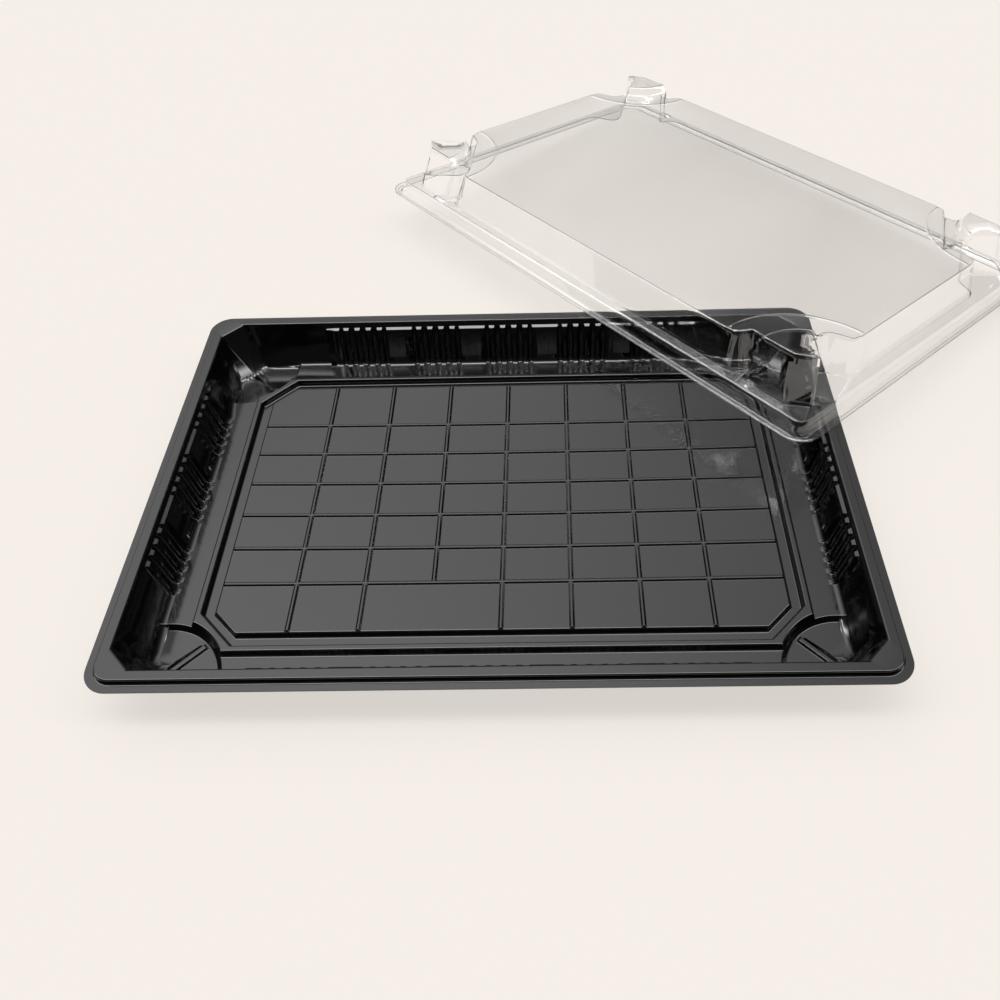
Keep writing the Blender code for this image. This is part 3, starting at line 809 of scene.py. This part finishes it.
for place in ((0.0, 0.0), (150.0, 100.0), (0.0, 118.0), (0.0, 127.0)):
    print("lid height at", place, "is", round(float(lid_height(*map(np.array, place))), 2))

# %% [markdown]
# ## Rows for the lid
#
# The rows follow the same outlines: round rings on the flange and the shelf, chains at several levels of the
# dome's wall, and arcs for the step behind each tower. One corner's chain is mirrored into a whole ring.
# Light goes through both faces, so both get the same close rows: a coarser lower face would bend it wrongly.

# %% Rows of the lid
LID_GAP = 3.0
TOWER_ARC, TOWER_POINTS = (math.radians(-10), math.radians(100)), 60
BEAD_ROWS = (-0.9, -0.7, -0.5, -0.1, 0.1, 0.5, 0.7, 0.9)
ARC_ROWS = (-1.4, -1.2, -1.0, -0.1, 0.1, 1.0, 1.2, 1.4)


def chain_ring(share):
    """The dome's outline at a share of the wall's height."""
    foot, top = np.array(DOME_FOOT), np.array(DOME_TOP)
    chain = foot + (top - foot) * share
    chain = np.vstack([[LID_SIZE[0] / 2, chain[0][1]], chain, [chain[-1][0], LID_SIZE[1] / 2]])
    points = []
    for start, end in zip(chain, chain[1:]):
        shares = spread(0, 1, LID_GAP / np.hypot(*(end - start)))[:-1]
        points += [tuple(start + (end - start) * s) for s in shares]
    points.append(tuple(chain[-1]))
    ring_points = []
    for side_x, side_y in ((-1, -1), (1, -1), (1, 1), (-1, 1)):
        placed = [(side_x * (LID_SIZE[0] / 2 - a), side_y * (LID_SIZE[1] / 2 - b)) for a, b in points]
        ring_points += (placed[::-1] if side_x == side_y else placed)[:-1]
    return ring_points


def tower_rows(radii):
    """Arcs about each tower's centre, as far as they stay on the dome."""
    rows = []
    for radius in radii:
        angles = np.linspace(*TOWER_ARC, TOWER_POINTS)
        a, b = TOWER_CENTRE[0] + radius * np.cos(angles), TOWER_CENTRE[1] + radius * np.sin(angles)
        on_dome = inside_chain(a, b, DOME_TOP) > 0.2
        rows.append([(LID_SIZE[0] / 2 - p, LID_SIZE[1] / 2 - q) for p, q in zip(a[on_dome], b[on_dome])])
    return rows


def pillow_rows():
    """Rings round the pillow at every bend of its side."""
    rows = []
    for bend in edge_rows(PILLOW_SLOPE, PILLOW_EDGE):
        half_a, half_b = PILLOW_HALF[0] - bend, max(PILLOW_HALF[1] - bend, 0.02)
        signs = ((1, 1), (-1, 1), (-1, -1), (1, -1), (1, 1))
        rows.append([(LID_SIZE[0] / 2 - PILLOW[0] - u * half_a, LID_SIZE[1] / 2 - PILLOW[1] - v * half_b)
                     for u, v in signs])
    return rows


def lid_rows():
    """All rows of either face of the lid."""
    def rounded(inset):
        return round_ring(LID_SIZE[0] / 2 - inset, LID_SIZE[1] / 2 - inset, max(LID_RADIUS - inset, 0.5))

    insets = [0.0] + [LID_FLANGE + bend for bend in edge_rows(SHELF_INSET - LID_FLANGE, SHELF_EDGE)]
    insets += [BEAD_PLACE + offset for offset in BEAD_ROWS]
    insets += [CURL - bend for bend in bend_rows(CURL_SLOPE, CURL_EDGE)]
    shares = edge_rows(1.0, WALL_EDGE) + [1 + TOWER_SHARE + WALL_EDGE * share for share in EVEN]
    radii = [TOWER_REACH - bend for bend in edge_rows(TOWER_STEP, TOWER_EDGE)]
    radii += [ARC_REACH + offset for offset in ARC_ROWS]
    rings = [rounded(inset) for inset in insets] + [chain_ring(share) for share in shares]
    lines = in_each_corner(tower_rows(radii)) + in_each_corner(pillow_rows())
    return [(row, True) for row in rings] + [(row, False) for row in lines if len(row) > 1]


lid = drape("lid_shell", lid_height, lid_rows(), lid_rows(), LID_GAUGE)

# %% [markdown]
# ## Where the lid lies
#
# The lid leans across the tray's back right corner, turned by almost half a right angle. It hangs over the
# tray's edge on two sides and slopes a little, because it rests on the tray's rims and tips towards the back.

# %% Place of the lid
LID_CORNER = (155.2, 1.3, 5.2)
LID_TURN, LID_SLOPE, LID_SLOPE_TOWARDS = -47.8, 6.12, 54.6

towards = math.radians(LID_SLOPE_TOWARDS)
hinge = Vector((-math.sin(towards), math.cos(towards), 0))
slope = Matrix.Rotation(math.radians(LID_SLOPE), 4, hinge)
turn = Matrix.Rotation(math.radians(LID_TURN), 4, "Z")
own_corner = Matrix.Translation(Vector((LID_SIZE[0] / 2, -LID_SIZE[1] / 2, 0)) * MM)
corner_place = Matrix.Translation(rim_middle + Vector(LID_CORNER) * MM)
lid.matrix_world = corner_place @ slope @ turn @ own_corner.inverted()
print("near corner of the lid", lid.matrix_world @ own_corner.translation)

# %% [markdown]
# ## Clear PET
#
# PET sheet is as clear as glass, with an IOR of 1.57, and it is never tinted for food. Both faces of the
# sheet send back a little light, so the flat parts carry a faint grey veil and every edge that turns upright
# shows as a bright line. Stretching and handling leave it a trace of haze that is not the same everywhere.

# %% The PET
PET_HAZE_MM, PET_LEAST_ROUGH, PET_MOST_ROUGH = 9.0, 0.01, 0.045

pet, tree, shader = new_material("thermoformed_clear_PET")
place = add_node(tree, "ShaderNodeTexCoord")
haze = add_node(tree, "ShaderNodeTexNoise",
                {"Vector": (place, "Object"), "Scale": 1 / (PET_HAZE_MM * MM), "Detail": 2.0})
rough = add_node(tree, "ShaderNodeMapRange",
                 {"Value": (haze, "Fac"), "To Min": PET_LEAST_ROUGH, "To Max": PET_MOST_ROUGH})
shader.inputs["Base Color"].default_value = linear("#ffffff")
shader.inputs["Transmission Weight"].default_value = 1.0
shader.inputs["IOR"].default_value = 1.57
tree.links.new(rough.outputs["Result"], shader.inputs["Roughness"])
lid.data.materials.append(pet)
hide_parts("lid")
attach(lid, "root")
print("haze", PET_HAZE_MM, "mm apart")


# %% [markdown]
# ## The table and the light
#
# The tray lies on an even, warm white ground, which is partly lit from below, as on a light table, so its
# shadows stay faint. The plastic only shows what it mirrors. The first light is a sky with a broad bright
# side high at the back left, like a large window beside the table. Such a gradient has no edges, so the flats
# mirror it as smooth greys. The second is a long strip light overhead, from left to right. No flat mirrors it
# towards the camera, but the ledges and the rounded edges do, as thin bright lines.

# %% Floor and sky
FLOOR_REACH = 6.0
PAPER_COLOUR = linear("#f4eee7")
PAPER_SHARE, PAPER_GLOW = 0.16, 0.735              # how much of its colour comes from above and from below
LIGHT_FROM = Vector((-0.22, 0.33, 0.917)).normalized()
LIGHT_PEAK, LIGHT_FALL, ROOM = 2.45, 5.2, 0.06
STRIP_PEAK, STRIP_FALL = 12.0, 100.0

floor_mesh = bpy.data.meshes.new("floor")
corners = [(x * FLOOR_REACH, y * FLOOR_REACH, 0) for x, y in ((-1, -1), (1, -1), (1, 1), (-1, 1))]
floor_mesh.from_pydata(corners, [], [(0, 1, 2, 3)])
floor = bpy.data.objects.new("floor", floor_mesh)
bpy.context.collection.objects.link(floor)
paper, tree, shader = new_material("matt_paper_ground")
shader.inputs["Base Color"].default_value = tuple(PAPER_SHARE * part for part in PAPER_COLOUR[:3]) + (1.0,)
shader.inputs["Roughness"].default_value = 1.0
shader.inputs["Specular IOR Level"].default_value = 0.0
shader.inputs["Emission Color"].default_value = PAPER_COLOUR
shader.inputs["Emission Strength"].default_value = PAPER_GLOW
floor_mesh.materials.append(paper)

world = bpy.data.worlds.new("studio_sky")
bpy.context.scene.world = world
world.use_nodes = True
sky = world.node_tree
backdrop = sky.nodes["Background"]
direction = add_node(sky, "ShaderNodeTexCoord")
facing = add_node(sky, "ShaderNodeVectorMath", {0: (direction, "Generated"), 1: tuple(LIGHT_FROM)},
                  operation="DOT_PRODUCT")
above = add_node(sky, "ShaderNodeMath", {0: (facing, "Value"), 1: 0.0}, operation="MAXIMUM")
lobe = add_node(sky, "ShaderNodeMath", {0: (above, "Value"), 1: LIGHT_FALL}, operation="POWER")
window = add_node(sky, "ShaderNodeMath", {0: (lobe, "Value"), 1: LIGHT_PEAK, 2: ROOM},
                  operation="MULTIPLY_ADD")
parts = add_node(sky, "ShaderNodeSeparateXYZ", {"Vector": (direction, "Generated")})
off_strip = add_node(sky, "ShaderNodeMath", {0: (parts, "Y"), 1: (parts, "Y")}, operation="MULTIPLY")
on_strip = add_node(sky, "ShaderNodeMath", {0: 1.0, 1: (off_strip, "Value")}, operation="SUBTRACT")
narrow = add_node(sky, "ShaderNodeMath", {0: (on_strip, "Value"), 1: STRIP_FALL}, operation="POWER")
overhead = add_node(sky, "ShaderNodeMath", {0: (parts, "Z"), 1: STRIP_PEAK}, operation="MULTIPLY")
high = add_node(sky, "ShaderNodeMath", {0: (overhead, "Value"), 1: 0.0}, operation="MAXIMUM")
strength = add_node(sky, "ShaderNodeMath", {0: (narrow, "Value"), 1: (high, "Value"), 2: (window, "Value")},
                    operation="MULTIPLY_ADD")
sky.links.new(strength.outputs["Value"], backdrop.inputs["Strength"])
backdrop.inputs["Color"].default_value = (1.0, 1.0, 1.0, 1.0)
bpy.context.scene.view_settings.view_transform = "Standard"
print("light from", [round(c, 2) for c in LIGHT_FROM], "falls to half at",
      round(math.degrees(math.acos(0.5 ** (1 / LIGHT_FALL)))), "degrees")

# %% [markdown]
# ## The camera
#
# A standing person's view of a tray on a table: from the front, a little right of the middle, and looking
# steeply down. The view shifts a little because the object sits off the middle of the frame.

# %% Camera
FOCAL_LENGTH, SENSOR = 33.75, 36.0
CAMERA_PLACE = (-0.049788, -0.481294, 0.395552)
YAW, PITCH, ROLL = -0.0271525, 0.8141462, -0.0363751

ahead = Vector((math.sin(YAW) * math.cos(PITCH), math.cos(YAW) * math.cos(PITCH), -math.sin(PITCH)))
level = Vector((math.cos(YAW), -math.sin(YAW), 0))
upright = level.cross(ahead)
right = level * math.cos(ROLL) + upright * math.sin(ROLL)
up = upright * math.cos(ROLL) - level * math.sin(ROLL)

lens = bpy.data.cameras.new("camera")
lens.lens, lens.sensor_width = FOCAL_LENGTH, SENSOR
lens.shift_x, lens.shift_y = -0.03886, -0.06215
lens.clip_start, lens.clip_end = 0.01, 50
camera = bpy.data.objects.new("camera", lens)
camera.matrix_world = Matrix.Translation(CAMERA_PLACE) @ Matrix((right, up, -ahead)).transposed().to_4x4()
bpy.context.collection.objects.link(camera)
bpy.context.scene.camera = camera
print("camera", CAMERA_PLACE, "looks down by", round(math.degrees(PITCH), 1), "degrees")
